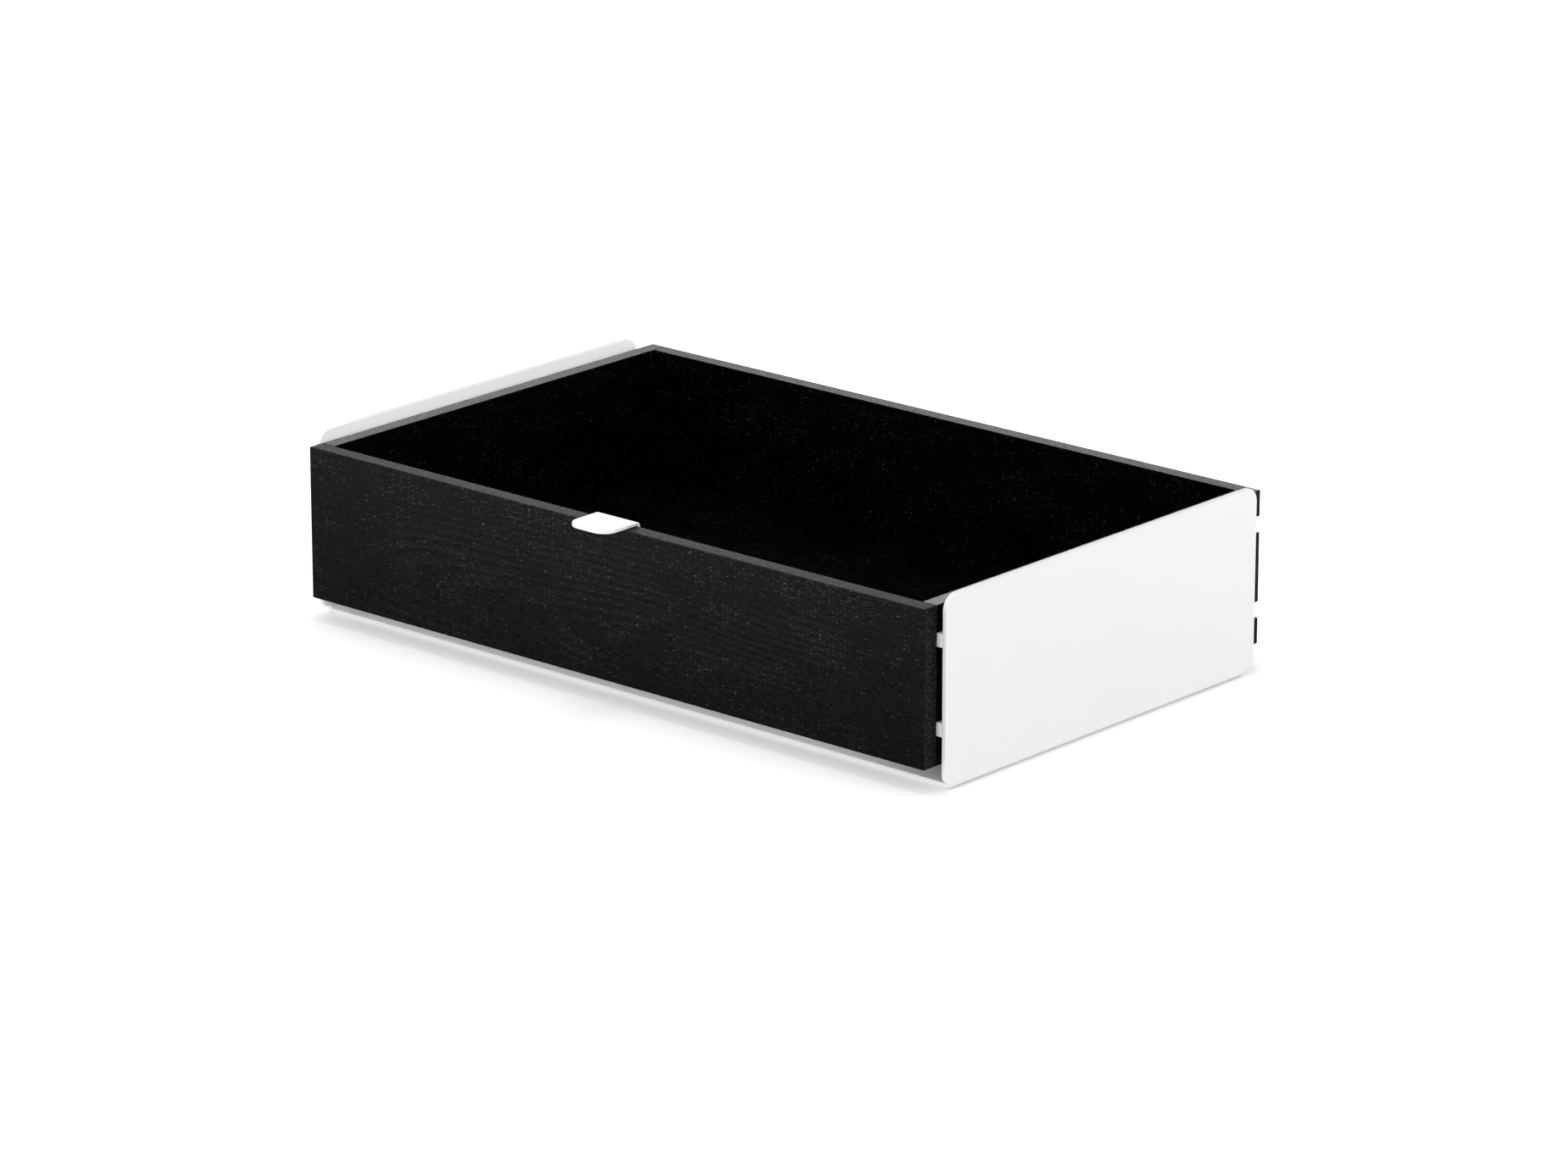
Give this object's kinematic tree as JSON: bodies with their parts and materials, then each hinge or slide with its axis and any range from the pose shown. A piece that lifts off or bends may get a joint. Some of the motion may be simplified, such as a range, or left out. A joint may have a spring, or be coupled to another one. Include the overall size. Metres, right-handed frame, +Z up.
{
  "type": "under desk drawer",
  "caption": "Open-topped black oak drawer box sliding on white rails inside a folded white steel U bracket that screws up under a desk or stands on its plate.",
  "frame": {"origin": "on the standing face (the underside of the bracket's plate), below the middle of the whole object's box", "axes": "+Z up with the bracket standing on its plate and the box open upwards, +Y to the back, so the drawer pulls out along -Y, +X to the right seen from the front"},
  "size_m": [0.47, 0.306, 0.11],
  "materials": {
    "white_powder_coat": "fine satin powder coat on folded steel sheet",
    "white_nylon": "moulded white nylon, semi-matt",
    "black_stained_oak": "black stain under satin lacquer, open oak pores showing",
    "zinc_plated_steel": "zinc plated steel",
    "beech": "unfinished turned beech"
  },
  "bodies": {
    "bracket": {"mounting_bracket": "white_powder_coat", "rail_left_lower": "white_nylon", "rail_left_upper": "white_nylon", "rail_right_lower": "white_nylon", "rail_right_upper": "white_nylon", "rail_stud_left_lower_front": "zinc_plated_steel", "rail_stud_left_lower_middle": "zinc_plated_steel", "rail_stud_left_lower_rear": "zinc_plated_steel", "rail_stud_left_upper_front": "zinc_plated_steel", "rail_stud_left_upper_middle": "zinc_plated_steel", "rail_stud_left_upper_rear": "zinc_plated_steel", "rail_stud_right_lower_front": "zinc_plated_steel", "rail_stud_right_lower_middle": "zinc_plated_steel", "rail_stud_right_lower_rear": "zinc_plated_steel", "rail_stud_right_upper_front": "zinc_plated_steel", "rail_stud_right_upper_middle": "zinc_plated_steel", "rail_stud_right_upper_rear": "zinc_plated_steel", "rail_screw_left_lower_front": "zinc_plated_steel", "rail_screw_left_lower_middle": "zinc_plated_steel", "rail_screw_left_lower_rear": "zinc_plated_steel", "rail_screw_left_upper_front": "zinc_plated_steel", "rail_screw_left_upper_middle": "zinc_plated_steel", "rail_screw_left_upper_rear": "zinc_plated_steel", "rail_screw_right_lower_front": "zinc_plated_steel", "rail_screw_right_lower_middle": "zinc_plated_steel", "rail_screw_right_lower_rear": "zinc_plated_steel", "rail_screw_right_upper_front": "zinc_plated_steel", "rail_screw_right_upper_middle": "zinc_plated_steel", "rail_screw_right_upper_rear": "zinc_plated_steel"},
    "drawer": {"front_panel": "black_stained_oak", "back_panel": "black_stained_oak", "left_side_panel": "black_stained_oak", "right_side_panel": "black_stained_oak", "bottom_panel": "black_stained_oak", "dowel_front_left_1": "beech", "dowel_front_left_2": "beech", "dowel_front_right_1": "beech", "dowel_front_right_2": "beech", "dowel_back_left_1": "beech", "dowel_back_left_2": "beech", "dowel_back_right_1": "beech", "dowel_back_right_2": "beech", "pull_tab": "white_powder_coat", "pull_screw_left": "zinc_plated_steel", "pull_screw_right": "zinc_plated_steel"}
  },
  "joints": [
    {"name": "drawer_slide", "type": "slide", "parent": "bracket", "child": "drawer", "axis": [0, -1, 0], "range_m": [0, 0.23]}
  ]
}
